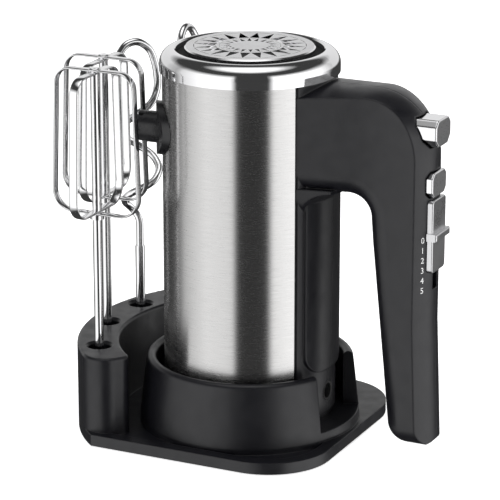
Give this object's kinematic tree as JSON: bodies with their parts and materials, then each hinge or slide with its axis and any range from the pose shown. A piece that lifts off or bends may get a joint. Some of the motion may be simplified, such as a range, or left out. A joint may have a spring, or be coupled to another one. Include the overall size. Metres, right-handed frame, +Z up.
{
  "type": "hand mixer",
  "caption": "Cylindrical hand mixer with a side grip, standing nose-up in a storage stand whose curved rack holds wire beaters and dough hooks.",
  "frame": {"origin": "on the surface the stand rests on, below the axis of the mixer's round body", "axes": "+Z up along the body's axis to its nose, +X from the body to the grip, -X out of the beater sockets"},
  "size_m": [0.2129, 0.1413, 0.204],
  "materials": {
    "black_plastic": "satin moulded ABS",
    "black_rubber": "moulded rubber",
    "board": "glass epoxy board",
    "bronze": "sintered bronze",
    "brushed_steel": "horizontally brushed stainless sheet",
    "carbon": "carbon block",
    "chrome": "polished chrome plate",
    "copper": "enamelled copper winding",
    "inner_plastic": "plain moulded nylon",
    "laminate": "laminated silicon steel",
    "satin_chrome": "satin silver plate",
    "steel": "ground steel"
  },
  "bodies": {
    "stand": {"stand_shell": "black_plastic", "stand_bottom_cover": "black_plastic", "stand_feet": "black_rubber", "stand_screws": "steel"},
    "mixer": {"brush_holders": "inner_plastic", "carbon_brushes": "carbon", "contact_board": "board", "cord_gland": "black_rubber", "eject_rod_guide": "inner_plastic", "eject_spring": "steel", "field_coils": "copper", "gear_cover": "inner_plastic", "gear_frame": "inner_plastic", "housing_left": "black_plastic", "housing_right": "black_plastic", "housing_screws": "steel", "motor_bolts": "steel", "motor_bracket_front": "inner_plastic", "motor_bracket_rear": "inner_plastic", "motor_bushes": "bronze", "motor_stator": "laminate", "nose_medallion": "chrome", "nose_plate": "black_plastic", "nose_ring": "chrome", "rear_cap": "black_plastic", "slider_track": "black_plastic", "socket_collar_left": "black_plastic", "socket_collar_right": "black_plastic", "speed_switch": "black_plastic", "spindle_bushes": "bronze", "steel_sleeve": "brushed_steel", "turbo_switch": "black_plastic"},
    "armature": {"motor_shaft": "steel", "armature_core": "laminate", "armature_windings": "copper", "commutator": "copper", "cooling_fan": "inner_plastic", "worm": "steel"},
    "spindle_left": {"spindle_left": "steel", "worm_wheel_left": "inner_plastic"},
    "spindle_right": {"spindle_right": "steel", "worm_wheel_right": "inner_plastic"},
    "ejector": {"eject_button": "chrome", "eject_rod": "inner_plastic", "ejector_yoke": "inner_plastic"},
    "turbo_button": {"turbo_button": "chrome"},
    "speed_slider": {"speed_slider": "satin_chrome", "contact_carriage": "inner_plastic"},
    "beater_1": {"beater_1_shaft": "chrome", "beater_1_cage": "chrome"},
    "beater_2": {"beater_2_shaft": "chrome", "beater_2_cage": "chrome"},
    "hook_1": {"hook_1": "chrome"},
    "hook_2": {"hook_2": "chrome"}
  },
  "joints": [
    {"name": "mixer_lift", "type": "slide", "parent": "stand", "child": "mixer", "axis": [0, 0, 1], "range_m": [0, 0.12]},
    {"name": "armature_spin", "type": "hinge", "parent": "mixer", "child": "armature", "pos_m": [0, 0, 0.09], "axis": [0, 0, 1], "continuous": true},
    {"name": "spindle_left_spin", "type": "hinge", "parent": "mixer", "child": "spindle_left", "pos_m": [0, -0.022, 0.162], "axis": [1, 0, 0], "continuous": true},
    {"name": "spindle_right_spin", "type": "hinge", "parent": "mixer", "child": "spindle_right", "pos_m": [0, 0.022, 0.162], "axis": [1, 0, 0], "continuous": true},
    {"name": "eject_press", "type": "slide", "parent": "mixer", "child": "ejector", "axis": [-1, 0, 0], "range_m": [0, 0.0045], "stiffness_N_per_m": 900, "springref_m": -0.004, "deforming": ["eject_spring"]},
    {"name": "turbo_press", "type": "slide", "parent": "mixer", "child": "turbo_button", "axis": [-1, 0, 0], "range_m": [0, 0.002], "stiffness_N_per_m": 800, "springref_m": -0.002},
    {"name": "speed_slide", "type": "slide", "parent": "mixer", "child": "speed_slider", "axis": [0, 0, -1], "range_m": [0, 0.026]},
    {"name": "beater_1_lift", "type": "slide", "parent": "stand", "child": "beater_1", "axis": [0, 0, 1], "range_m": [0, 0.12]},
    {"name": "beater_2_lift", "type": "slide", "parent": "stand", "child": "beater_2", "axis": [0, 0, 1], "range_m": [0, 0.12]},
    {"name": "hook_1_lift", "type": "slide", "parent": "stand", "child": "hook_1", "axis": [0, 0, 1], "range_m": [0, 0.12]},
    {"name": "hook_2_lift", "type": "slide", "parent": "stand", "child": "hook_2", "axis": [0, 0, 1], "range_m": [0, 0.12]}
  ],
  "couplings": [
    {"joint": "spindle_left_spin", "follows": "armature_spin", "ratio": -0.076923},
    {"joint": "spindle_right_spin", "follows": "armature_spin", "ratio": 0.076923}
  ]
}
